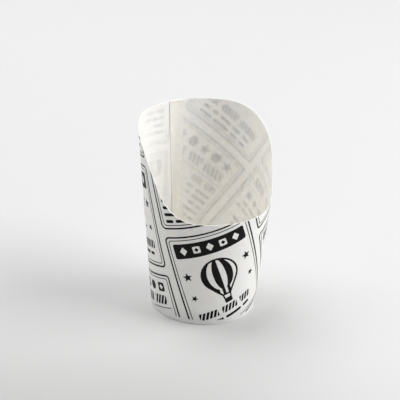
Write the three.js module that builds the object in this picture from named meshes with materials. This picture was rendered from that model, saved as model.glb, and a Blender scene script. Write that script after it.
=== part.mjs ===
import * as THREE from 'three';
import { toCreasedNormals } from 'three/addons/utils/BufferGeometryUtils.js';

// Paperboard scoop cup for fries: millimetres, +Z up, foot on z = 0, scoop opening towards -Y

// Board and cone
const board = 0.45; // thickness of the paperboard
const footRadius = 30; // outside of the wall where it stands
const wallLean = 5.4; // degrees that the wall leans out from upright

// Rim, with its lengths as they lie in the flat blank
const backHeight = 110.9; // level top of the tall back
const lipHeight = 65.3; // level front lip
const flankSlope = 58; // degrees that the falling sides make with the level
const flankReach = 65.3; // from the middle of the back to the middle of a falling side
const crownRadius = 44; // round between the back and a side
const hollowRadius = 28; // round between a side and the lip

// Sealed lap at the back
const lapTurn = 2.7; // degrees from the middle of the back to the middle of the lap
const lapHalfAngle = 6.1; // degrees from the middle of the lap to each cut edge
const climbAngle = 5; // degrees over which the outer layer climbs on to the inner one

// Foot and bottom
const hemHeight = 7; // height of the folded hem
const foldRound = 0.4; // round at both edges of the fold
const seatGap = 0.25; // room between the bottom's skirt and the board on either side of it
const bottomShoulder = 0.8; // inner round between the bottom and its skirt

// Facets
const facetAngle = 2.5; // degrees between columns of the wall
const lapFacets = 5; // columns across the lap
const climbFacets = 5; // columns across the climb
const wallBands = 4; // bands up the wall
const roundSteps = 3; // steps in each small round

const degrees = Math.PI / 180;
const flare = Math.tan(wallLean * degrees);

// The foot is three layers of board with the seat gap on both sides of the middle one
const footWidth = 3 * board + 2 * seatGap;

// The origin is under the middle of the outline, between the lip and the back
const scoopRadius = outerRadius((backHeight + lipHeight) / 2);
const backReach = outerRadius(backHeight) + board;
const lipReach = outerRadius(lipHeight);
const axisY = (lipReach - backReach) / 2;

function outerRadius(height) {
  return footRadius + flare * height;
}

// Height of the rim at an angle from the middle of the back: level back, round crown, straight falling side,
// round hollow and level lip, drawn with tangent arcs in the flat blank
function rimHeight(angle) {
  const slope = flankSlope * degrees;
  const drop = backHeight - lipHeight;
  const tangentSum = (crownRadius + hollowRadius) * Math.tan(slope / 2);
  const fit = Math.min(1, drop / Math.sin(slope) / tangentSum);
  const crown = crownRadius * fit;
  const hollow = hollowRadius * fit;
  const halfRun = drop / 2 / Math.tan(slope);
  const crownStart = flankReach - halfRun - crown * Math.tan(slope / 2);
  const hollowEnd = flankReach + halfRun + hollow * Math.tan(slope / 2);
  const along = Math.abs(angle) * scoopRadius;
  if (along <= crownStart) return backHeight;
  if (along >= hollowEnd) return lipHeight;
  if (along < crownStart + crown * Math.sin(slope)) {
    return backHeight - crown + Math.sqrt(crown ** 2 - (along - crownStart) ** 2);
  }
  if (along > hollowEnd - hollow * Math.sin(slope)) {
    return lipHeight + hollow - Math.sqrt(hollow ** 2 - (hollowEnd - along) ** 2);
  }
  return lipHeight + drop / 2 - (along - flankReach) * Math.tan(slope);
}

// Columns of the wall, once round from the outer cut edge. lift is how far the outer layer stands out over the
// inner one, and groove is how far the wall's inner face is lifted with it beside the inner cut edge. Each cut
// edge is a pair of columns at one angle, so its face is square to the wall.
function wallColumns() {
  const lap = 2 * lapHalfAngle * degrees;
  const climb = climbAngle * degrees;
  const outerEdge = (lapTurn - lapHalfAngle) * degrees;
  const innerEdge = outerEdge + lap;
  const columns = [];
  for (let i = 0; i <= lapFacets; i++) {
    const angle = outerEdge + lap * i / lapFacets;
    columns.push({ angle, lift: board, groove: 0 });
  }
  for (let i = 0; i <= climbFacets; i++) {
    const rise = board * (1 + Math.cos(Math.PI * i / climbFacets)) / 2;
    const angle = innerEdge + climb * i / climbFacets;
    columns.push({ angle, lift: rise, groove: rise });
  }
  const rest = 2 * Math.PI - lap - climb;
  const restFacets = Math.round(rest / (facetAngle * degrees));
  for (let i = 1; i <= restFacets; i++) {
    const angle = innerEdge + climb + rest * i / restFacets;
    columns.push({ angle, lift: 0, groove: 0 });
  }
  return columns;
}

// Points of a quarter round from one direction to another, without its first point
function quarterRound(centreInset, centreHeight, radius, fromAngle, toAngle) {
  const points = [];
  for (let i = 1; i <= roundSteps; i++) {
    const turn = fromAngle + (toAngle - fromAngle) * i / roundSteps;
    const inset = centreInset + radius * Math.cos(turn);
    points.push([inset, centreHeight + radius * Math.sin(turn)]);
  }
  return points;
}

// One section of the wall as [inset, height] points, where the inset is measured in from the plain outer face:
// down the outside, round the fold, up and over the hem, down into the pocket for the skirt and up the inside
function wallSection({ angle, lift, groove }) {
  const turn = ((angle + Math.PI) % (2 * Math.PI)) - Math.PI;
  const rim = rimHeight(turn);
  const outer = -lift;
  const inner = board - groove;
  const hemInner = footWidth + lift;
  const hemOuter = footWidth - board + groove;
  const points = [];
  for (let i = 0; i <= wallBands; i++) {
    points.push([outer, rim + (foldRound - rim) * i / wallBands]);
  }
  points.push(...quarterRound(outer + foldRound, foldRound, foldRound, Math.PI, 1.5 * Math.PI));
  points.push([hemInner - foldRound, 0]);
  points.push(...quarterRound(hemInner - foldRound, foldRound, foldRound, -0.5 * Math.PI, 0));
  points.push([hemInner, hemHeight]);
  points.push([hemOuter, hemHeight]);
  points.push([hemOuter, board]);
  for (let i = 0; i <= wallBands; i++) {
    points.push([inner, board + (rim - board) * i / wallBands]);
  }
  return points;
}

// A closed skin through sections that stand all round the axis. The two columns of a cut edge share points, and
// a triangle with two corners in one place is left out.
function loftRound(columns, section) {
  const rings = columns.map((column) => {
    const bearing = Math.PI / 2 + column.angle;
    return section(column).map(([inset, height]) => {
      const radius = outerRadius(height) - inset;
      return new THREE.Vector3(radius * Math.cos(bearing), radius * Math.sin(bearing), height);
    });
  });
  const corners = [];
  const addTriangle = (a, b, c) => {
    const tiny = board / 1000;
    if (a.distanceTo(b) < tiny || b.distanceTo(c) < tiny || c.distanceTo(a) < tiny) return;
    corners.push(a, b, c);
  };
  rings.forEach((ring, i) => {
    const next = rings[(i + 1) % rings.length];
    ring.forEach((point, j) => {
      const k = (j + 1) % ring.length;
      addTriangle(point, ring[k], next[k]);
      addTriangle(point, next[k], next[j]);
    });
  });
  const skin = new THREE.BufferGeometry().setFromPoints(corners);
  return toCreasedNormals(skin, 30 * degrees);
}

// The bottom's disc and skirt, turned about the axis, parallel to the wall with the seat gap all round
function bottomProfile() {
  const top = hemHeight + seatGap + bottomShoulder + board;
  const outerInset = board + seatGap;
  const innerInset = outerInset + board;
  const outerRound = bottomShoulder + board;
  const at = ([inset, height]) => new THREE.Vector2(outerRadius(height) - inset, height);
  const points = [new THREE.Vector2(0, top - board)];
  const innerRound = quarterRound(
    innerInset + bottomShoulder, top - outerRound, bottomShoulder, 0.5 * Math.PI, Math.PI);
  points.push(at([innerInset + bottomShoulder, top - board]));
  points.push(...innerRound.map(at));
  points.push(at([innerInset, board + seatGap]));
  points.push(at([outerInset, board + seatGap]));
  points.push(at([outerInset, top - outerRound]));
  points.push(...quarterRound(
    outerInset + outerRound, top - outerRound, outerRound, Math.PI, 0.5 * Math.PI).map(at));
  points.push(new THREE.Vector2(0, top));
  return points;
}

function makeSideWall() {
  const whiteBoard = new THREE.MeshStandardMaterial({ color: 0xf1eee4, roughness: 0.7, metalness: 0 });
  const wall = new THREE.Mesh(loftRound(wallColumns(), wallSection), whiteBoard);
  wall.name = 'side_wall';
  return wall;
}

function makeBottom() {
  const innerBoard = new THREE.MeshStandardMaterial({ color: 0xe9e4d6, roughness: 0.6, metalness: 0 });
  const facets = Math.round(360 / facetAngle);
  const turned = new THREE.LatheGeometry(bottomProfile(), facets);
  turned.rotateX(Math.PI / 2);
  const bottom = new THREE.Mesh(turned, innerBoard);
  bottom.name = 'bottom';
  return bottom;
}

const cup = new THREE.Group();
cup.add(makeSideWall());
cup.add(makeBottom());
cup.position.y = axisY;

export default cup;
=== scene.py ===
import math

import bmesh
import bpy
import numpy as np
from mathutils import Matrix, Vector


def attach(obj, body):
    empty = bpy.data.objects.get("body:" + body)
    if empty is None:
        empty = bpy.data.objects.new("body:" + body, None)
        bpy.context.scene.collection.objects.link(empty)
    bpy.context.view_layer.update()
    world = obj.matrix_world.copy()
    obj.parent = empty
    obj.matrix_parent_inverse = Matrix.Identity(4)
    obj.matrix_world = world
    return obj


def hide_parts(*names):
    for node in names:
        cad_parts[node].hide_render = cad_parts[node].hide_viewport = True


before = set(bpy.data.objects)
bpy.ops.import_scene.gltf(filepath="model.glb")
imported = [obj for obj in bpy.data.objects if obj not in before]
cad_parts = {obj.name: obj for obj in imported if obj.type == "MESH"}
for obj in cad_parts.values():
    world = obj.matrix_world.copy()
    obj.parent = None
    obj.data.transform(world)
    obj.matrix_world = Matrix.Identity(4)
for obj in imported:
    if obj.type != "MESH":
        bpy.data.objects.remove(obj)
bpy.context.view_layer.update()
print("frame loaded")

mm = 0.001

# The cup's own sizes, as the frame has them, in metres and degrees
cup = {
    "board": 0.45 * mm,  # thickness of the paperboard
    "footRadius": 30 * mm,
    "wallLean": 5.4,  # that the wall leans out from upright
    "backHeight": 110.9 * mm,
    "lipHeight": 65.3 * mm,
    "flankSlope": 58,  # that the falling sides of the rim make with the level
    "flankReach": 65.3 * mm,  # round from the middle of the back to the middle of a falling side
    "crownRadius": 44 * mm,  # between the back and a falling side
    "hollowRadius": 28 * mm,  # between a falling side and the lip
    "lapTurn": 2.7,  # from the middle of the back to the middle of the lap
    "lapHalfAngle": 6.1,
    "climbAngle": 5,  # over which the outer layer climbs on to the inner one
    "hemHeight": 7 * mm,
    "foldRound": 0.4 * mm,
    "seatGap": 0.25 * mm,  # on either side of the bottom's skirt
}
flare = math.tan(math.radians(cup["wallLean"]))
outerEdge = cup["lapTurn"] - cup["lapHalfAngle"]  # turn at which the outer layer is cut
innerEdge = cup["lapTurn"] + cup["lapHalfAngle"]  # turn at which the inner layer is cut


def outerRadius(height):
    # foot radius + flare * height
    return cup["footRadius"] + flare * height


axisY = (outerRadius(cup["lipHeight"]) - outerRadius(cup["backHeight"]) - cup["board"]) / 2


def rimHeight(turn):
    # tangent arcs and a straight fall, over the length of arc from the middle of the back; turn in degrees
    slope = math.radians(cup["flankSlope"])
    drop = cup["backHeight"] - cup["lipHeight"]
    crown, hollow = cup["crownRadius"], cup["hollowRadius"]
    halfRun = drop / 2 / math.tan(slope)
    crownStart = cup["flankReach"] - halfRun - crown * math.tan(slope / 2)
    hollowEnd = cup["flankReach"] + halfRun + hollow * math.tan(slope / 2)
    scoopRadius = outerRadius((cup["backHeight"] + cup["lipHeight"]) / 2)
    folded = np.abs((np.asarray(turn) + 180) % 360 - 180)
    along = np.radians(folded) * scoopRadius
    onCrown = np.clip(along - crownStart, 0, crown * math.sin(slope))
    onHollow = np.clip(hollowEnd - along, 0, hollow * math.sin(slope))
    crownLine = cup["backHeight"] - crown + np.sqrt(crown**2 - onCrown**2)
    hollowLine = cup["lipHeight"] + hollow - np.sqrt(hollow**2 - onHollow**2)
    straight = cup["lipHeight"] + drop / 2 - (along - cup["flankReach"]) * math.tan(slope)
    crownEnd = crownStart + crown * math.sin(slope)
    hollowStart = hollowEnd - hollow * math.sin(slope)
    return np.where(along < crownEnd, crownLine, np.where(along > hollowStart, hollowLine, straight))


def layerLift(turn):
    # the outer layer stands one board out over the lap, and eases down past the inner cut edge
    past = np.clip((np.asarray(turn) - innerEdge) / cup["climbAngle"], 0, 1)
    return cup["board"] * (1 + np.cos(np.pi * past)) / 2


def wallPoints(turn, height, inset):
    # a point of the cone: radius = outer radius at that height - inset, bearing = turn from the back
    bearing = np.radians(90 + turn)
    radius = outerRadius(height) - inset
    return np.stack([radius * np.cos(bearing), radius * np.sin(bearing) + axisY, height + 0 * radius], -1)


def meshObject(name, points, faces):
    mesh = bpy.data.meshes.new(name)
    mesh.from_pydata(points.reshape(-1, 3).tolist(), [], faces)
    mesh.update()
    thing = bpy.data.objects.new(name, mesh)
    bpy.context.scene.collection.objects.link(thing)
    return thing


# Print: drawn flat, in millimetres, as signed distances that are negative inside a shape

def disc(x0, y0, radius):
    # distance to the centre - radius
    return lambda x, y: np.hypot(x - x0, y - y0) - radius


def ring(x0, y0, radius, width):
    # distance to the circle - half the width
    return lambda x, y: np.abs(np.hypot(x - x0, y - y0) - radius) - width / 2


def block(x0, y0, wide, high, corner=0.0):
    # distance to the block drawn in by its corner round - that round
    def distance(x, y):
        dx = np.abs(x - x0) - wide / 2 + corner
        dy = np.abs(y - y0) - high / 2 + corner
        return np.hypot(np.maximum(dx, 0), np.maximum(dy, 0)) + np.minimum(np.maximum(dx, dy), 0) - corner
    return distance


def lineDistance(x, y, points):
    # to the nearest place on a bent line; along each leg that is t = (place - start) . leg / leg squared
    nearest = np.full(x.shape, np.inf)
    for (ax, ay), (bx, by) in zip(points, points[1:]):
        ex, ey = bx - ax, by - ay
        t = np.clip(((x - ax) * ex + (y - ay) * ey) / (ex * ex + ey * ey), 0, 1)
        nearest = np.minimum(nearest, np.hypot(x - ax - t * ex, y - ay - t * ey))
    return nearest


def polygon(corners):
    # distance to the nearest side, negative where a level line to the right crosses an odd number of sides
    def distance(x, y):
        closed = corners + corners[:1]
        inside = np.zeros(x.shape, bool)
        for (ax, ay), (bx, by) in zip(closed, closed[1:]):
            if ay != by:  # a level side is never crossed
                crosses = (ay > y) != (by > y)
                inside ^= crosses & (x < ax + (y - ay) * (bx - ax) / (by - ay))
        nearest = lineDistance(x, y, closed)
        return np.where(inside, -nearest, nearest)
    return distance


def stroke(points, width):
    # distance to the bent line - half the width
    return lambda x, y: lineDistance(x, y, points) - width / 2


def joined(*shapes):
    # in any of them: the least distance
    return lambda x, y: np.minimum.reduce([shape(x, y) for shape in shapes])


def shared(a, b):
    # in both: the greater distance
    return lambda x, y: np.maximum(a(x, y), b(x, y))


def without(a, b):
    # in the first and outside the second
    return lambda x, y: np.maximum(a(x, y), -b(x, y))


def outlined(shape, width):
    # a line of that width, just inside the edge
    return lambda x, y: np.abs(shape(x, y) + width / 2) - width / 2


def heavier(shape, grow):
    # every line grown on both sides
    return lambda x, y: shape(x, y) - grow


def stripes(pitch, width, lean):
    # distance across the lean to the nearest line of an even set - half the width
    c, s = math.cos(math.radians(lean)), math.sin(math.radians(lean))
    return lambda x, y: np.abs((x * c + y * s) % pitch - pitch / 2) - width / 2


def moved(shape, x0, y0, angle=0.0, scale=1.0):
    # the shape is read at the place moved, turned and scaled back
    c, s = math.cos(math.radians(angle)), math.sin(math.radians(angle))

    def distance(x, y):
        px, py = (x - x0) / scale, (y - y0) / scale
        return shape(px * c + py * s, -px * s + py * c) * scale
    return distance


def star(radius, points=5, inner=0.42):
    # corners in turn on two circles
    corners = []
    for i in range(points * 2):
        reach = radius if i % 2 == 0 else radius * inner
        angle = math.pi / 2 + math.pi * i / points
        corners.append((reach * math.cos(angle), reach * math.sin(angle)))
    return polygon(corners)


def lens(long, thick):
    # two arcs, point to point along x
    radius = (long**2 + thick**2) / 4 / thick
    return shared(disc(0, radius - thick / 2, radius), disc(0, thick / 2 - radius, radius))


def waveLine(x0, x1, y0, height, length, width, points=25):
    # y = y0 + height * sin(2 pi x / length)
    xs = np.linspace(x0, x1, points)
    return stroke([(x, y0 + height * math.sin(2 * math.pi * x / length)) for x in xs], width)


# Small pictures in millimetres, about 20 across and centred; an outline, ring or stroke ends with its width

def sunPicture():
    rays = []
    count = 14
    for i in range(count):
        long = 9.6 if i % 2 == 0 else 8.0
        ray = polygon([(6.2, -0.75), (long, 0), (6.2, 0.75)])
        rays.append(moved(ray, 0, 0, 360 * i / count))
    half = shared(disc(0, 0, 4.1), lambda x, y: x - 0.4)
    return joined(ring(0, 0, 4.9, 0.55), shared(half, stripes(0.9, 0.42, 20)), *rays)


def boatPicture():
    hull = polygon([(-8.5, -4.2), (8.8, -4.2), (6.2, -8.2), (-5.6, -8.2)])
    jib = polygon([(-1.0, -3.0), (-1.0, 7.2), (-7.0, -3.0)])
    main = polygon([(0.6, -3.0), (0.6, 9.8), (7.8, -3.0)])
    sails = [outlined(jib, 0.45), outlined(main, 0.45), shared(main, stripes(1.5, 0.5, 62))]
    mast = stroke([(-0.2, -4.2), (-0.2, 10.2)], 0.45)
    waves = [waveLine(-10, 10, y, 0.45, 4.2, 0.4) for y in (-9.4, -10.8)]
    return joined(hull, mast, *sails, *waves)


def kitePicture():
    tailHeight, sway, swayLength = -6.4, 1.3, 6.5
    sail = polygon([(0, 10), (5.6, 4.2), (0, -4.6), (-5.6, 4.2)])
    quarters = shared(sail, lambda x, y: -np.sign(x) * (y - 4.2))
    tail = waveLine(0, 9.5, tailHeight, sway, swayLength, 0.4)
    bow = polygon([(-1.1, -0.8), (-1.1, 0.8), (1.1, -0.8), (1.1, 0.8)])
    bows = []
    for x0 in (2.6, 5.6, 8.6):
        bows.append(moved(bow, x0, tailHeight + sway * math.sin(2 * math.pi * x0 / swayLength)))
    cross = joined(stroke([(0, 10), (0, tailHeight)], 0.4), stroke([(-5.6, 4.2), (5.6, 4.2)], 0.4))
    return joined(outlined(sail, 0.5), quarters, cross, tail, *bows)


def parasolPicture():
    dome = shared(disc(0, -1.0, 9.2), lambda x, y: -1.0 - y)
    gores = shared(dome, lambda x, y: np.sin(np.arctan2(y + 1.0, x) * 7) * 0.9)
    scallops = joined(*[disc(x, -1.0, 1.34) for x in np.linspace(-7.9, 7.9, 7)])
    fringe = outlined(shared(scallops, lambda x, y: y + 0.8), 0.4)
    pole = stroke([(0, 9.4), (0, -9.5)], 0.6)
    return joined(outlined(dome, 0.45), gores, fringe, pole, block(0, -9.9, 7.0, 0.8, 0.3))


def balloonPicture():
    radius, middle, narrowest = 7.0, 2.6, 3.0

    def bands(x, y):
        # upright bands that narrow with the envelope
        halfWidth = np.sqrt(np.maximum(radius**2 - (y - middle)**2, narrowest**2))
        return np.sin(x / halfWidth * 9) * 0.8

    skirt = polygon([(-5.9, -1.2), (5.9, -1.2), (1.6, -7.0), (-1.6, -7.0)])
    envelope = joined(disc(0, middle, radius), skirt)
    ropes = joined(*[stroke([(1.5 * end, -7.0), (1.2 * end, -8.8)], 0.3) for end in (-1, 1)])
    basket = block(0, -9.6, 2.8, 1.9, 0.2)
    return joined(outlined(envelope, 0.5), shared(envelope, bands), basket, ropes)


def flowerPicture():
    petals = []
    for i in range(8):
        a = 2 * math.pi * i / 8
        petals.append(outlined(disc(4.0 * math.cos(a), 3.6 + 4.0 * math.sin(a), 1.75), 0.45))
    leaves = joined(moved(lens(6, 2.2), 2.9, -6.2, 35), moved(outlined(lens(6, 2.2), 0.45), -2.9, -7.4, 145))
    stalk = stroke([(0, -0.6), (0.3, -4), (0, -10)], 0.55)
    return joined(*petals, disc(0, 3.6, 1.9), stalk, leaves)


def wheelsPicture():
    axle, reach = -3.2, 5.6
    wheels = []
    for x0 in (-reach, reach):
        wheels += [ring(x0, axle, 4.1, 0.6), disc(x0, axle, 0.6)]
        for i in range(10):
            a = math.pi * i / 5
            wheels.append(stroke([(x0, axle), (x0 + 4 * math.cos(a), axle + 4 * math.sin(a))], 0.16))
    tubes = stroke([(-reach, axle), (-2.6, 2.6), (3.6, 2.6), (-0.4, axle), (-reach, axle)], 0.55)
    post = stroke([(-0.4, axle), (-3.1, 4.0)], 0.55)
    handle = stroke([(reach, axle), (3.3, 4.6), (4.8, 5.4), (6.2, 4.9)], 0.55)
    saddle = block(-3.3, 4.3, 3.0, 0.8, 0.4)
    return joined(*wheels, tubes, post, handle, saddle)


def starsPicture():
    full = [moved(star(5.6), -3.4, 1.4, 8), moved(star(2.4), 5.0, -3.4, 20)]
    hollow = [moved(outlined(star(3.6), 0.5), 5.4, 5.2, -14), moved(outlined(star(2.6), 0.45), -4.6, -7.6)]
    return joined(*full, *hollow, disc(1.2, -7.6, 0.7))


def fishPicture():
    body = lens(15, 7.4)
    tail = polygon([(-6.4, 0), (-10, 3.2), (-8.9, 0), (-10, -3.2)])
    scales = shared(shared(body, lambda x, y: x - 2.6), stripes(1.2, 0.45, 28))
    bubbles = joined(ring(8.6, 4.2, 0.8, 0.3), ring(9.8, 6.6, 0.5, 0.3))
    water = waveLine(-9, 9, -6.2, 0.4, 4, 0.35)
    return joined(outlined(body, 0.5), tail, scales, disc(4.9, 0.8, 0.55), water, bubbles)


def flagsPicture():
    lowest, sag = 2.1, 0.029
    drawn = [stroke([(-10, 5), (-5, 2.8), (0, lowest), (5, 2.8), (10, 5)], 0.4)]
    for i, x0 in enumerate(np.linspace(-8.4, 8.4, 6)):
        y0 = lowest + sag * x0 * x0
        flag = polygon([(x0 - 1.5, y0), (x0 + 1.5, y0), (x0, y0 - 4.2)])
        drawn.append(flag if i % 2 else outlined(flag, 0.4))
    return joined(*drawn)


pictures = [boatPicture, sunPicture, kitePicture, parasolPicture, flowerPicture, balloonPicture, fishPicture,
            wheelsPicture, starsPicture, flagsPicture]

# The printed sheet in millimetres: tilted columns of framed panels, with ornaments, bands and bars
sheet = {
    "tilt": 22.0,  # degrees that the rows rise to the right
    "columnWidth": 52.0,
    "columnsEachSide": 3,
    "gutter": 4.6,  # between panels
    "across": 6.0,  # that the columns are shifted
    "lowest": -68.0,  # where the columns start, before the stagger
    "stagger": 21.0,  # that the next column starts lower, three in turn
    "highest": 150.0,  # above which no panel starts
    "heights": [60, 66, 72],  # of the panels
    "corners": [0.3, 2.2, 3.2],  # rounds of a frame
    "seed": 5,
    "thick": 1.0,
    "thin": 0.5,
    "frameGap": 1.2,  # between the two lines of a frame
    "innerCorner": 0.6,  # of the inner line, against the outer one
    "margin": 4.6,  # from a panel's edge to its contents
    "ornamentPitch": 1.28,  # in heights of the row
    "hatch": (0.46, 0.31, -24),  # pitch and width in heights of the row, and lean
    "hatchCorner": 0.14,  # in heights of the row
    "hatchRuns": (1.6, 3.6, 0.5),  # shortest, longest and gap in heights of the row
    "barRuns": (2.0, 6.5, 0.9),
    "bar": 1.8,
    "barCorner": 0.45,
    "rowPitch": 4.1,
    "shortRow": 0.66,  # length of every third row of bars
    "beadPitch": 2.1,  # in widths of a bead
    "weight": 0.12,  # how much a picture's lines are grown
    "firstPicture": 6,
    "pictureStep": 3,
    "footMargin": 3.0,
    "rimMargin": 0.05,
    "cell": 0.2,  # between samples of the drawing
    "evenRadius": 35.0,  # where a sample is as wide as it is high
    "blur": 0.34,  # of the print's painted shadow that shows through on the inside
    "lift": 0.02,  # of the ink off the board
    "pieces": 4,
}
noInk = 2.0  # distance where nothing is near
rng = np.random.default_rng(sheet["seed"])


def ornaments(h):
    # small marks of about the height h
    around = np.arange(6) * math.pi / 3
    petals = [disc(h * 0.27 * math.cos(a), h * 0.27 * math.sin(a), h * 0.21) for a in around]
    tile = block(0, 0, h * 0.8, h * 0.8, h * 0.12)
    return [
        polygon([(0, h / 2), (h * 0.42, 0), (0, -h / 2), (-h * 0.42, 0)]),
        disc(0, 0, h * 0.4),
        star(h * 0.56),
        joined(*petals),
        moved(lens(h * 1.15, h * 0.46), 0, 0, 35),
        star(h * 0.55, 8, 0.6),
        without(tile, moved(block(0, 0, h * 0.34, h * 0.34), 0, 0, 45)),
    ]


def ornamentRow(x0, y0, wide, high):
    # two ornaments in turn, evenly spaced
    shapes = ornaments(high)
    first, second = rng.permutation(len(shapes))[:2]
    count = max(3, int(wide / (high * sheet["ornamentPitch"])) // 2 * 2 + 1)
    places = x0 + wide * (np.arange(count) + 0.5) / count
    return [moved(shapes[second if i % 2 else first], x, y0) for i, x in enumerate(places)]


def runs(x0, wide, high, lengths):
    # middles and lengths, drawn at random until the row is full
    shortest, longest, gap = lengths
    places, x = [], x0
    while x0 + wide - x > high * shortest:
        long = min(high * rng.uniform(shortest, longest), x0 + wide - x)
        places.append((x + long / 2, long))
        x += long + high * gap
    return places


def hatchRow(x0, y0, wide, high):
    # blocks of random lengths, filled with leaning stripes
    pitch, width, lean = sheet["hatch"]
    slant = stripes(high * pitch, high * width, lean)
    places = runs(x0, wide, high, sheet["hatchRuns"])
    return [shared(block(x, y0, long, high, high * sheet["hatchCorner"]), slant) for x, long in places]


def barRow(x0, y0, wide):
    # bars of random lengths
    high = sheet["bar"]
    corner = high * sheet["barCorner"]
    return [block(x, y0, long, high, corner) for x, long in runs(x0, wide, high, sheet["barRuns"])]


def barRows(x0, first, wide, lowest):
    # from the first row down to the lowest place
    marks = []
    for i in range(int((first - lowest) / sheet["rowPitch"]) + 1):
        long = wide * (sheet["shortRow"] if i % 3 == 2 else 1.0)
        marks += barRow(x0, first - i * sheet["rowPitch"], long)
    return marks


def beadRow(x0, y0, wide, across):
    # discs, evenly spaced
    places = np.arange(x0 + across, x0 + wide - across / 2, across * sheet["beadPitch"])
    return [disc(x, y0, across / 2) for x in places]


# Three layouts of a panel, laid from the top down: a drop is measured from the top to a row's middle
headed = {
    "ornaments": 6.8,
    "title": 5.6,
    "titleDrop": 11.4,
    "titleIndent": 2.0,
    "ruleDrop": 16.4,
    "subtitle": 4.0,
    "subtitleDrop": 20.6,
    "subtitleShare": 0.44,  # of the width
    "listShare": 0.42,
    "listGap": 5.4,  # from the subtitle's middle to the first row
    "listFoot": 2.3,  # left free under the list
    "room": 23.0,  # height that a picture takes at its own scale
    "rise": 2.0,  # how far it may rise past the subtitle's middle
    "largest": 1.25,
    "pictureInset": 11.2,
    "pictureLift": 0.6,
    "pictureTurn": -8,
}


def headedPanel(right, top, drawn):
    # ornaments, a hatched title and a rule, then a list on the left and a picture on the right
    span = 2 * right
    indent = headed["titleIndent"]
    marks = ornamentRow(-right, top - headed["ornaments"] / 2, span, headed["ornaments"])
    marks += hatchRow(-right + indent, top - headed["titleDrop"], span - 2 * indent, headed["title"])
    marks.append(block(0, top - headed["ruleDrop"], span, sheet["thin"]))
    y = top - headed["subtitleDrop"]
    marks += hatchRow(-right, y, span * headed["subtitleShare"], headed["subtitle"])
    marks += barRows(-right, y - headed["listGap"], span * headed["listShare"], headed["listFoot"] - top)
    scale = min(headed["largest"], (y + top + headed["rise"]) / headed["room"])
    x, middle = right - headed["pictureInset"], (y - top) / 2 + headed["pictureLift"]
    marks.append(moved(drawn, x, middle, headed["pictureTurn"], scale))
    return marks


banded = {
    "band": 9.2,
    "bandCorner": 1.2,
    "ornaments": 5.4,
    "indent": 2.0,  # of the ornaments and of the title
    "room": 22.0,  # height that a picture takes at its own scale
    "otherRows": 23.0,  # height of all but the picture
    "largest": 1.75,
    "pictureDrop": 11.2,  # to the picture's upper end
    "starInset": 3.2,
    "starOffset": 7.0,  # above and below the picture's middle
    "upperStar": 3.0,
    "lowerStar": 2.2,
    "title": 4.6,
    "titleGap": 3.2,  # from the picture's lower end to the title's middle
    "listGap": 5.6,
    "listIndent": 4.0,
}


def bandedPanel(right, top, drawn):
    # ornaments left white in a black band, a large picture between stars, a hatched title and a list
    span = 2 * right
    indent = banded["indent"]
    y = top - banded["band"] / 2
    band = block(0, y, span, banded["band"], banded["bandCorner"])
    row = ornamentRow(-right + indent, y, span - 2 * indent, banded["ornaments"])
    marks = [without(band, joined(*row))]
    scale = min(banded["largest"], (2 * top - banded["otherRows"]) / banded["room"])
    half = banded["room"] / 2 * scale
    middle = top - banded["pictureDrop"] - half
    marks.append(moved(drawn, 0, middle, 0, scale))
    for x in (-right + banded["starInset"], right - banded["starInset"]):
        marks.append(moved(star(banded["upperStar"]), x, middle + banded["starOffset"]))
        marks.append(moved(star(banded["lowerStar"]), x, middle - banded["starOffset"], 36))
    y = middle - half - banded["titleGap"]
    marks += hatchRow(-right + indent, y, span - 2 * indent, banded["title"])
    indent = banded["listIndent"]
    marks += barRows(-right + indent, y - banded["listGap"], span - 2 * indent, -top)
    return marks


halved = {
    "gap": 3.2,  # between the two halves
    "title": 6.0,
    "bead": 1.4,
    "beadDrop": 8.8,
    "ruleDrop": 11.0,  # to the upper end of the rule between the halves
    "pictureDrop": 22.5,
    "leftListDrop": 36.0,
    "ornaments": 4.8,
    "ornamentDrop": 14.2,
    "rightListDrop": 20.4,
}


def halvedPanel(right, top, drawn):
    # a hatched title and beads, then a picture over a list beside ornaments over a longer list
    span = 2 * right
    half = (span - halved["gap"]) / 2
    marks = hatchRow(-right, top - halved["title"] / 2, span, halved["title"])
    marks += beadRow(-right, top - halved["beadDrop"], span, halved["bead"])
    marks.append(block(0, -halved["ruleDrop"] / 2, sheet["thin"], 2 * top - halved["ruleDrop"]))
    marks.append(moved(drawn, half / 2 - right, top - halved["pictureDrop"]))
    marks += barRows(-right, top - halved["leftListDrop"], half, -top)
    marks += ornamentRow(right - half, top - halved["ornamentDrop"], half, halved["ornaments"])
    marks += barRows(right - half, top - halved["rightListDrop"], half, -top)
    return marks


layouts = [headedPanel, bandedPanel, halvedPanel]


def panel(high, layout, picture):
    # a thick and a thin line round a layout, all about the panel's middle
    wide = sheet["columnWidth"]
    corner = float(rng.choice(sheet["corners"]))
    inset = 2 * (sheet["thick"] + sheet["frameGap"])
    marks = [outlined(block(0, 0, wide, high, corner), sheet["thick"]),
             outlined(block(0, 0, wide - inset, high - inset, corner * sheet["innerCorner"]), sheet["thin"])]
    right, top = wide / 2 - sheet["margin"], high / 2 - sheet["margin"]
    return marks + layout(right, top, heavier(picture(), sheet["weight"]))


def blankGrid():
    # turn and height of every sample, and its place on the flat blank: the wall unrolls about its apex, so
    # x = slant * sin(a) and y = slant * cos(a) - foot slant, with a = angle from the front * sin(wall lean)
    lean = math.radians(cup["wallLean"])
    columns = int(round(2 * math.pi * sheet["evenRadius"] / sheet["cell"]))
    above = 2  # cells past the rim
    rows = int(round(cup["backHeight"] / mm / sheet["cell"])) + above + 1
    turn = np.linspace(outerEdge, 360 + outerEdge, columns + 1)
    height = np.linspace(0, cup["backHeight"] + above * sheet["cell"] * mm, rows)
    turn2, height2 = np.meshgrid(turn, height, indexing="ij")
    slant = (cup["footRadius"] / math.sin(lean) + height2 / math.cos(lean)) / mm
    fan = np.radians(turn2 - 180) * math.sin(lean)
    x = slant * np.sin(fan)
    y = slant * np.cos(fan) - cup["footRadius"] / math.sin(lean) / mm
    return turn, height, x, y


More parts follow.
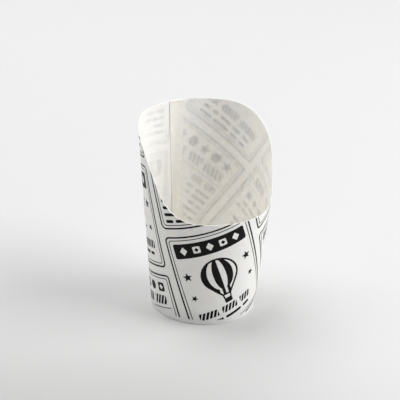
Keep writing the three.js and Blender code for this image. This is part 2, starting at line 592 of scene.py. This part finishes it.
def drawSheet(x, y):
    # least distance to any mark, with the panels placed in tilted columns
    ink = np.full(x.shape, noInk)
    tilt = math.radians(sheet["tilt"])
    along = x * math.cos(tilt) + y * math.sin(tilt)
    up = -x * math.sin(tilt) + y * math.cos(tilt)
    pitch = sheet["columnWidth"] + sheet["gutter"]
    step = 0
    for column in range(-sheet["columnsEachSide"], sheet["columnsEachSide"] + 1):
        middle = sheet["across"] + column * pitch
        foot = sheet["lowest"] - sheet["stagger"] * (column % 3)
        while foot < sheet["highest"]:
            high = float(rng.choice(sheet["heights"]))
            centre = foot + high / 2
            near = (np.abs(along - middle) < pitch / 2) & (np.abs(up - centre) < high / 2 + noInk)
            if near.any():
                px, py = along[near] - middle, up[near] - centre
                part = np.full(px.shape, noInk)
                picture = pictures[(step * sheet["pictureStep"] + sheet["firstPicture"]) % len(pictures)]
                for mark in panel(high, layouts[step % len(layouts)], picture):
                    np.minimum(part, mark(px, py), out=part)
                ink[near] = np.minimum(ink[near], part)
            step += 1
            foot += high + sheet["gutter"]
    return ink


def clipToBoard(ink, turn, height):
    # the print runs off the rim, and stops at a margin above the foot
    rim = rimHeight(turn)[:, None] / mm
    high = height[None, :] / mm
    bare = np.maximum(high - rim + sheet["rimMargin"], sheet["footMargin"] - high)
    return np.maximum(ink, bare)


def tallFaces(whole):
    # cells that are all ink, joined up each column into one tall face
    edge = np.diff(np.pad(whole, ((0, 0), (1, 1))).astype(int), axis=1)
    column, start = np.nonzero(edge == 1)
    end = np.nonzero(edge == -1)[1]
    corners = [(column, start), (column + 1, start), (column + 1, end), (column, end)]
    return np.stack([np.stack(corner, -1) for corner in corners], 1).astype(float)


def cutFaces(ink, crossed):
    # a cell that the outline crosses is two triangles, each cut at the places where the distance is zero
    column, row = np.nonzero(crossed)
    corner = [np.stack([column + a, row + b], -1) for a, b in ((0, 0), (1, 0), (1, 1), (0, 1))]
    triangles = np.concatenate([np.stack([corner[0], corner[k], corner[k + 1]], 1) for k in (1, 2)])
    value = ink[triangles[..., 0], triangles[..., 1]]
    count = (value < 0).sum(1)
    triangles = triangles.astype(float)
    kept = [triangles[count == 3]]
    for wanted in (1, 2):
        chosen, depth = triangles[count == wanted], value[count == wanted]
        # the corner that is alone on its side of the outline is turned to the front
        lone = np.argmax((depth < 0) == (wanted == 1), axis=1)
        order = (lone[:, None] + np.arange(3)) % 3
        p = np.take_along_axis(chosen, order[..., None], 1)
        v = np.take_along_axis(depth, order, 1)
        a, b = (p[:, 0] + (p[:, k] - p[:, 0]) * (v[:, 0] / (v[:, 0] - v[:, k]))[:, None] for k in (1, 2))
        if wanted == 1:
            kept.append(np.stack([p[:, 0], a, b], 1))
        else:
            kept.append(np.stack([a, p[:, 1], p[:, 2]], 1))
            kept.append(np.stack([a, p[:, 2], b], 1))
    return np.concatenate(kept)


def inkPiece(name, ink, turn, height):
    # faces found on the grid of samples, then carried on to the wall by each corner's turn and height
    inside = ink < 0
    around = [inside[:-1, :-1], inside[1:, :-1], inside[:-1, 1:], inside[1:, 1:]]
    whole = np.logical_and.reduce(around)
    tall = tallFaces(whole)
    cut = cutFaces(ink, np.logical_or.reduce(around) & ~whole)
    corners = np.concatenate([tall.reshape(-1, 2), cut.reshape(-1, 2)])
    # corners that agree to a thousandth of a cell are one
    merged, index = np.unique(np.round(corners, 3), axis=0, return_inverse=True)
    index = index.reshape(-1)
    turns = np.interp(merged[:, 0], np.arange(len(turn)), turn)
    heights = np.interp(merged[:, 1], np.arange(len(height)), height)
    points = wallPoints(turns, heights, -layerLift(turns) - sheet["lift"] * mm)
    quads = index[:len(tall) * 4].reshape(-1, 4)
    triangles = index[len(tall) * 4:].reshape(-1, 3)
    triangles = triangles[(triangles != np.roll(triangles, 1, axis=1)).all(1)]
    print(name, len(quads) * 2 + len(triangles), "triangles")
    return meshObject(name, points, quads.tolist() + triangles.tolist())


def softened(ink):
    # how much ink lies over each place, blurred with weights exp(-(distance / spread) squared / 2), for the
    # print's painted shadow on the inside
    cell, spread = sheet["cell"], sheet["blur"]
    cover = np.clip(0.5 - ink / cell, 0, 1)
    reach = int(3 * spread / cell)
    weights = np.exp(-0.5 * (np.arange(-reach, reach + 1) * cell / spread)**2)
    weights /= weights.sum()
    for axis in (0, 1):
        pad = [(0, 0), (0, 0)]
        pad[axis] = (reach, reach)
        wide = np.pad(cover, pad, mode="edge")
        size = cover.shape[axis]
        cover = sum(w * np.take(wide, np.arange(i, i + size), axis=axis) for i, w in enumerate(weights))
    return cover


wallMesh = {
    "lapColumns": 14,
    "climbColumns": 12,
    "restColumns": 430,
    "outerBands": 12,
    "hemBands": 4,
    "innerBands": 172,
    "roundSteps": 4,
    "cornerRound": 1.3 * mm,  # at the top corner of the inner layer
    "cornerColumns": 7,
    "throughLap": 0.15,  # how much of the print's painted shadow shows through two layers, against one
    "litSide": 0.4,  # and on the side that faces the light
    "litTurn": 120,  # where that side ends
    "sharpAngle": 35,
    "chartMargin": 0.005,
    "sameWithin": 0.0001 * mm,  # points that lie closer are one
}


def wallTurns():
    # once round from the outer cut edge, with columns that close up as 1 - sin towards the inner cut edge,
    # where the layer's top corner is round; the second value is the number of columns on the lap
    cornerTurn = math.degrees(wallMesh["cornerRound"] / outerRadius(cup["backHeight"]))
    corner = innerEdge - cornerTurn * (1 - np.sin(np.linspace(0, math.pi / 2, wallMesh["cornerColumns"])))
    climbed = innerEdge + cup["climbAngle"]
    lap = np.linspace(outerEdge, corner[0], wallMesh["lapColumns"])[:-1]
    climb = np.linspace(innerEdge, climbed, wallMesh["climbColumns"])
    rest = np.linspace(climbed, 360 + outerEdge, wallMesh["restColumns"])[1:]
    return np.concatenate([lap, corner, climb, rest]), len(lap) + len(corner)


def cornerDrop(turns):
    # the inner layer's top corner falls away as a quarter circle
    rounding = wallMesh["cornerRound"]
    fromEdge = np.radians(innerEdge - turns) * outerRadius(cup["backHeight"])
    drop = rounding - np.sqrt(rounding**2 - np.clip(rounding - fromEdge, 0, rounding)**2)
    return np.where(turns > innerEdge, 0, drop)


def wallSection(turns, lapCount):
    # insets from the plain outer face, and heights, for each turn: down the outside, round the fold, up and
    # over the hem, down into the pocket for the skirt, up the inside and over the cut rim; the last value is
    # the number of points before the inside
    board, fold = cup["board"], cup["foldRound"]
    footWidth = 3 * board + 2 * cup["seatGap"]
    lift = layerLift(turns)
    groove = np.where(np.arange(len(turns)) < lapCount, 0, lift)
    rim, drop = rimHeight(turns), cornerDrop(turns)
    innerTop = rim - drop
    between = np.where(drop > 0, board - lift, board - groove)  # inner face of the layer that reaches the rim
    quarter = np.linspace(0, math.pi / 2, wallMesh["roundSteps"] + 1)
    rows = [(-lift, rim + (fold - rim) * t) for t in np.linspace(0, 1, wallMesh["outerBands"] + 1)]
    rows += [(-lift + fold * (1 - math.cos(a)), fold * (1 - math.sin(a))) for a in quarter[1:]]
    rows += [(footWidth + lift - fold * (1 - math.sin(a)), fold * (1 - math.cos(a))) for a in quarter]
    rows += [(footWidth + lift, z) for z in np.linspace(fold, cup["hemHeight"], wallMesh["hemBands"] + 1)[1:]]
    rows += [(footWidth - board + groove, cup["hemHeight"]), (footWidth - board + groove, board)]
    below = len(rows)
    for t in np.linspace(0, 1, wallMesh["innerBands"] + 1):
        rows.append((board - groove, board + (innerTop - board) * t))
    rows += [(between, innerTop), (between, rim)]
    insets = np.array([inset + 0 * turns for inset, z in rows]).T
    heights = np.array([z + 0 * turns for inset, z in rows]).T
    return insets, heights, below


def printShadowBehind(shade, turn, height, turns, heights):
    # the painted shade that the softened print casts through the board, at each of the wall's points: its
    # four nearest samples, each weighed by nearness
    short = 1.001  # so that the last point still has a sample past it
    column = np.clip((turns[:, None] - turn[0]) / (turn[1] - turn[0]) + 0 * heights, 0, len(turn) - short)
    row = np.clip(heights / (height[1] - height[0]), 0, len(height) - short)
    c, r = column.astype(int), row.astype(int)
    fc, fr = column - c, row - r
    return ((1 - fc) * (1 - fr) * shade[c, r] + fc * (1 - fr) * shade[c + 1, r]
            + (1 - fc) * fr * shade[c, r + 1] + fc * fr * shade[c + 1, r + 1])


def addChart(mesh, insets, heights):
    # one chart for the bake: once round across, the section's length up
    columns, rows = insets.shape
    middle = columns // 2
    length = np.concatenate([[0], np.cumsum(np.hypot(np.diff(insets[middle]), np.diff(heights[middle])))])
    length = length / (length[-1] + cup["board"])
    across = np.arange(columns + 1) / columns
    u0, u1, v0, v1 = across[:-1, None], across[1:, None], length[None], np.append(length[1:], 1.0)[None]
    corners = np.empty((columns, rows, 4, 2))
    for k, (u, v) in enumerate(((u0, v0), (u0, v1), (u1, v1), (u1, v0))):
        corners[:, :, k] = np.stack(np.broadcast_arrays(u, v), -1)
    margin = wallMesh["chartMargin"]
    chart = corners * (1 - 2 * margin) + margin
    mesh.uv_layers.new(name="OFBake").data.foreach_set("uv", chart.reshape(-1).astype(np.float32))


def paperWall(shade, turn, height):
    # the closed loft of the frame's wall with finer columns, and fine bands up the inside
    turns, lapCount = wallTurns()
    insets, heights, below = wallSection(turns, lapCount)
    columns, rows = insets.shape
    points = wallPoints(np.repeat(turns[:, None], rows, 1), heights, insets)
    i, j = np.meshgrid(np.arange(columns), np.arange(rows), indexing="ij")
    nextI, nextJ = (i + 1) % columns, (j + 1) % rows
    quads = np.stack([i * rows + j, i * rows + nextJ, nextI * rows + nextJ, nextI * rows + j], -1)
    thing = meshObject("paper_wall", points, quads.reshape(-1, 4).tolist())
    mesh = thing.data

    # outside, inside and cut board, which is the rim and the two cut edges of the lap
    role = np.zeros((columns, rows), np.int32)
    role[:, below - 1:] = 1
    role[:, [rows - 3, rows - 1]] = 2
    role[lapCount - 1, below:] = 2
    role[columns - 1, :wallMesh["outerBands"]] = 2
    mesh.polygons.foreach_set("material_index", role.reshape(-1))

    # painted shadow of the outside print on the inside face, standing in for light that the ink keeps from
    # passing through the board; less through the two layers of the lap, and less on the side that faces the
    # light
    strength = np.where(turns < wallMesh["litTurn"], wallMesh["litSide"], 1.0)
    strength[:lapCount] = wallMesh["throughLap"]
    value = printShadowBehind(shade, turn, height, turns, heights) * strength[:, None]
    value[:, :below] = 0
    attribute = mesh.attributes.new("printShadowBehind", "FLOAT", "POINT")
    attribute.data.foreach_set("value", value.reshape(-1).astype(np.float32))
    addChart(mesh, insets, heights)

    body = bmesh.new()
    body.from_mesh(mesh)
    bmesh.ops.remove_doubles(body, verts=body.verts, dist=wallMesh["sameWithin"])
    body.to_mesh(mesh)
    body.free()
    print("paper_wall", sum(len(p.vertices) - 2 for p in mesh.polygons), "triangles")
    return thing


# Materials

def addNode(tree, kind, inputs=None, **settings):
    # an input is given as a value or as the output of another node
    node = tree.nodes.new(kind)
    for name, value in settings.items():
        setattr(node, name, value)
    for socket, value in (inputs or {}).items():
        if isinstance(value, bpy.types.NodeSocket):
            tree.links.new(value, node.inputs[socket])
        else:
            node.inputs[socket].default_value = value
    return node


def mixed(tree, factor, low, high):
    # one colour into another, each written out or the output of another node
    low, high = ((*colour, 1) if isinstance(colour, tuple) else colour for colour in (low, high))
    node = addNode(tree, "ShaderNodeMix", {"Factor": factor, "A": low, "B": high}, data_type="RGBA")
    return node.outputs["Result"]


def spanned(tree, value, low, high, kind="LINEAR"):
    # 0 at the low value to 1 at the high one
    inputs = {"Value": value, "From Min": low, "From Max": high}
    return addNode(tree, "ShaderNodeMapRange", inputs, interpolation_type=kind).outputs["Result"]


def product(tree, a, b):
    return addNode(tree, "ShaderNodeMath", {0: a, 1: b}, operation="MULTIPLY").outputs["Value"]


def newMaterial(name, look):
    material = bpy.data.materials.new(name)
    material.use_nodes = True
    shader = material.node_tree.nodes["Principled BSDF"]
    shader.inputs["Base Color"].default_value = (*look["colour"], 1)
    shader.inputs["Roughness"].default_value = look["roughness"]
    shader.inputs["Specular IOR Level"].default_value = look["specular"]
    return material, material.node_tree, shader


grain = {
    "mottle": {"Detail": 5, "Roughness": 0.6},  # cloudy formation of the sheet
    "mottleSpan": (0.35, 0.7),
    "fibre": {"Detail": 3, "Roughness": 0.7},
    "fibreDepth": 0.05 * mm,
    "glow": (1.0, 0.93, 0.8),  # shares of the reach for red, green and blue light
    "glowReach": 1.2 * mm,  # of light inside the board
}


def boardMaterial(name, look):
    # cloudy board with a fibre bump, that lets a little light through; on the inside, a painted shadow of the
    # outside print, standing in for light that the ink keeps from passing through the board
    material, tree, shader = newMaterial(name, look)
    place = {"Vector": addNode(tree, "ShaderNodeTexCoord").outputs["Object"]}
    mottle = addNode(tree, "ShaderNodeTexNoise", {**place, "Scale": look["mottleScale"], **grain["mottle"]})
    fibre = addNode(tree, "ShaderNodeTexNoise", {**place, "Scale": look["fibreScale"], **grain["fibre"]})
    cloudy = spanned(tree, mottle.outputs["Fac"], *grain["mottleSpan"])
    paint = mixed(tree, cloudy, look["colour"], look["cloud"])
    # painted shade: the inside darkens where the outside print would block light coming through the board
    if "shadowColour" in look:
        behind = addNode(tree, "ShaderNodeAttribute", attribute_name="printShadowBehind").outputs["Fac"]
        paint = mixed(tree, product(tree, behind, look["shadowStrength"]), paint, look["shadowColour"])
    tree.links.new(paint, shader.inputs["Base Color"])
    height = {"Height": fibre.outputs["Fac"], "Strength": look["bump"], "Distance": grain["fibreDepth"]}
    tree.links.new(addNode(tree, "ShaderNodeBump", height).outputs["Normal"], shader.inputs["Normal"])
    shader.inputs["Subsurface Weight"].default_value = look["translucency"]
    shader.inputs["Subsurface Radius"].default_value = grain["glow"]
    shader.inputs["Subsurface Scale"].default_value = grain["glowReach"]
    return material


outsideLook = {
    "colour": (0.895, 0.89, 0.868),
    "cloud": (0.872, 0.867, 0.84),
    "roughness": 0.5,
    "specular": 0.35,
    "mottleScale": 260,
    "fibreScale": 2600,
    "bump": 0.25,
    "translucency": 0.35,
}
insideLook = {
    "colour": (0.93, 0.91, 0.865),
    "cloud": (0.905, 0.885, 0.835),
    "roughness": 0.75,
    "specular": 0.35,
    "mottleScale": 200,
    "fibreScale": 1900,
    "bump": 0.4,
    # strength and colour of the painted shadow that the outside print casts through the board
    "shadowStrength": 0.18,
    "shadowColour": (0.60, 0.585, 0.545),
    "translucency": 0.8,
}
edgeLook = {
    "colour": (0.91, 0.90, 0.85),
    "cloud": (0.87, 0.86, 0.80),
    "roughness": 0.85,
    "specular": 0.35,
    "mottleScale": 900,
    "fibreScale": 4200,
    "bump": 0.5,
    "translucency": 0.8,
}
inkLook = {
    "colour": (0.006, 0.005, 0.005),
    "roughness": 0.5,
    "specular": 0.12,
}
outsideBoard = boardMaterial("outside_board", outsideLook)
insideBoard = boardMaterial("inside_board", insideLook)
cutBoard = boardMaterial("cut_board", edgeLook)
inkBlack = newMaterial("black_print", inkLook)[0]
print("materials ready")

turn, height, flatX, flatY = blankGrid()
printed = clipToBoard(drawSheet(flatX, flatY), turn, height)
print("print drawn", printed.shape)

wall = paperWall(softened(printed), turn, height)
for material in (outsideBoard, insideBoard, cutBoard):
    wall.data.materials.append(material)
wall.data.polygons.foreach_set("use_smooth", [True] * len(wall.data.polygons))
wall.data.set_sharp_from_angle(angle=math.radians(wallMesh["sharpAngle"]))
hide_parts("side_wall")
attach(wall, "root")

for k in range(sheet["pieces"]):
    first, last = (end * (len(turn) - 1) // sheet["pieces"] for end in (k, k + 1))
    piece = inkPiece(f"print_{k + 1}", printed[first:last + 1], turn[first:last + 1], height)
    piece.data.materials.append(inkBlack)
    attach(piece, "root")

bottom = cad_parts["bottom"]
bottom.data.materials.clear()
bottom.data.materials.append(insideBoard)
print("cup dressed")

# Camera as the photograph has it, in degrees and metres
view = {
    "bearing": -117.74,
    "elevation": 24.265,
    "roll": 2.481,
    "distance": 894.7 * mm,
    "focalPixels": 1574.4,
    "framePixels": 400,
    "sensor": 36,  # millimetres across
    "nearest": 10 * mm,
    "aimRight": -4.08 * mm,
    "aimHeight": 64.12 * mm,
}
bearing, elevation, roll = (math.radians(view[k]) for k in ("bearing", "elevation", "roll"))
right = Vector((-math.sin(bearing), math.cos(bearing), 0))
flat = math.cos(elevation)
forward = Vector((-math.cos(bearing) * flat, -math.sin(bearing) * flat, -math.sin(elevation)))
away = Vector((forward.x, forward.y, 0)).normalized()  # over the floor, from the camera to the cup


def placeCamera():
    # right and up are turned by the roll about the line of sight
    data = bpy.data.cameras.new("camera")
    data.sensor_width = view["sensor"]
    data.lens = view["focalPixels"] * view["sensor"] / view["framePixels"]
    data.clip_start = view["nearest"]
    camera = bpy.data.objects.new("camera", data)
    bpy.context.scene.collection.objects.link(camera)
    up = right.cross(forward)
    rolledRight = right * math.cos(roll) + up * math.sin(roll)
    rolledUp = up * math.cos(roll) - right * math.sin(roll)
    pose = Matrix((rolledRight, rolledUp, -forward)).transposed().to_4x4()
    aim = Vector((0, axisY, view["aimHeight"])) + right * view["aimRight"]
    pose.translation = aim - forward * view["distance"]
    camera.matrix_world = pose
    bpy.context.scene.camera = camera


placeCamera()

# Floor and backdrop, in metres; a pair is where a change of colour starts and ends
stage = {
    "half": 3.0,
    "behind": 1.2,
    "sweep": 0.6,
    "sweepPoints": 24,
    "top": 2.4,
    "backdrop": (0.86, 0.86, 0.86),
    # painted shade: the floor's colour greys from the backdrop towards the camera, more on the left, standing
    # in for the light that falls off there
    "far": (0.72, 0.72, 0.72),
    "shadedNearLeft": (0.535, 0.535, 0.53),
    "shadedNearRight": (0.68, 0.68, 0.68),
    "nearToFar": (-0.16, 0.03),  # past the cup's middle, away from the camera
    "farToBackdrop": (0.1, 1.2),
    "leftToRight": (-0.02, 0.12),
    "lampsToPale": (0.62, 1.5),  # from the cup's middle, all round
}
floorLook = {
    "colour": stage["far"],
    "roughness": 0.9,
    "specular": 0.0,
}


def sweptFloor():
    # flat, then a quarter circle up to an upright backdrop: reach = behind + sweep * sin,
    # rise = sweep * (1 - cos)
    arc = np.linspace(0, math.pi / 2, stage["sweepPoints"])
    end = stage["behind"] + stage["sweep"]
    reach = np.concatenate([[-stage["half"]], stage["behind"] + stage["sweep"] * np.sin(arc), [end]])
    rise = np.concatenate([[0], stage["sweep"] * (1 - np.cos(arc)), [stage["top"]]])
    reach2, wide2 = np.meshgrid(reach, [-stage["half"], stage["half"]], indexing="ij")
    rise2 = np.repeat(rise[:, None], 2, 1)
    points = np.stack([reach2 * away.x + wide2 * right.x, reach2 * away.y + wide2 * right.y, rise2], -1)
    faces = [(2 * i, 2 * i + 1, 2 * i + 3, 2 * i + 2) for i in range(len(reach) - 1)]
    thing = meshObject("floor", points, faces)
    thing.data.polygons.foreach_set("use_smooth", [True] * len(faces))
    return thing


def floorPaint():
    # painted shade: greys towards the camera, a little more on the left, standing in for the light that falls
    # off there; and is pale for the camera past the lamps' reach
    material, tree, shader = newMaterial("floor_painted_shade", floorLook)
    place = addNode(tree, "ShaderNodeTexCoord").outputs["Object"]

    def ramp(direction, span):
        along = addNode(tree, "ShaderNodeVectorMath", {0: place, 1: direction}, operation="DOT_PRODUCT")
        return spanned(tree, along.outputs["Value"], *span, "SMOOTHSTEP")

    near = mixed(tree, ramp(right, stage["leftToRight"]), stage["shadedNearLeft"], stage["shadedNearRight"])
    far = mixed(tree, ramp(away, stage["farToBackdrop"]), stage["far"], stage["backdrop"])
    tree.links.new(mixed(tree, ramp(away, stage["nearToFar"]), near, far), shader.inputs["Base Color"])

    apart = addNode(tree, "ShaderNodeVectorMath", {0: place}, operation="LENGTH").outputs["Value"]
    beyond = spanned(tree, apart, *stage["lampsToPale"], "SMOOTHSTEP")
    seen = product(tree, beyond, addNode(tree, "ShaderNodeLightPath").outputs["Is Camera Ray"])
    pale = addNode(tree, "ShaderNodeEmission", {"Color": (*stage["backdrop"], 1)}).outputs["Emission"]
    painted = addNode(tree, "ShaderNodeMixShader", {"Fac": seen, 1: shader.outputs["BSDF"], 2: pale})
    tree.links.new(painted.outputs["Shader"], tree.nodes["Material Output"].inputs["Surface"])
    return material


floor = sweptFloor()
floor.data.materials.append(floorPaint())

# A soft key lamp on the right, a high one behind on the left, a weak low one on the left and an even sky;
# bearings are from the right, seen from above
lamps = {
    "key": {"bearing": -4, "height": 36, "power": 16.4},
    "back": {"bearing": 144, "height": 65, "power": 12.8},
    "left": {"bearing": 190, "height": 15, "power": 2.4},
    "distance": 1.4,
    "size": 1.1,
    "aimHeight": 50 * mm,
    "sky": 0.25,
    "seenSky": 0.86,
}


def areaLamp(name):
    # a soft square that faces the cup from its bearing and height
    lamp = lamps[name]
    turned, raised = math.radians(lamp["bearing"]), math.radians(lamp["height"])
    direction = (right * math.cos(turned) + away * math.sin(turned)) * math.cos(raised)
    direction.z = math.sin(raised)
    data = bpy.data.lights.new(name, "AREA")
    data.shape = "SQUARE"
    data.size = lamps["size"]
    data.energy = lamp["power"]
    thing = bpy.data.objects.new(name, data)
    bpy.context.scene.collection.objects.link(thing)
    thing.location = direction * lamps["distance"]
    aim = Vector((0, 0, lamps["aimHeight"])) - thing.location
    thing.rotation_euler = aim.to_track_quat("-Z", "Y").to_euler()


def studioWorld():
    # the sky that lights the cup, and the one that the camera sees past the floor
    world = bpy.data.worlds.new("studio")
    bpy.context.scene.world = world
    world.use_nodes = True
    tree = world.node_tree
    white = (1, 1, 1, 1)
    sky = tree.nodes["Background"]
    sky.inputs["Color"].default_value = white
    sky.inputs["Strength"].default_value = lamps["sky"]
    seen = addNode(tree, "ShaderNodeBackground", {"Color": white, "Strength": lamps["seenSky"]})
    cameraRay = addNode(tree, "ShaderNodeLightPath").outputs["Is Camera Ray"]
    shaders = {"Fac": cameraRay, 1: sky.outputs["Background"], 2: seen.outputs["Background"]}
    either = addNode(tree, "ShaderNodeMixShader", shaders)
    tree.links.new(either.outputs["Shader"], tree.nodes["World Output"].inputs["Surface"])


for name in ("key", "back", "left"):
    areaLamp(name)
studioWorld()
bpy.context.scene.view_settings.view_transform = "Standard"
print("stage lit")
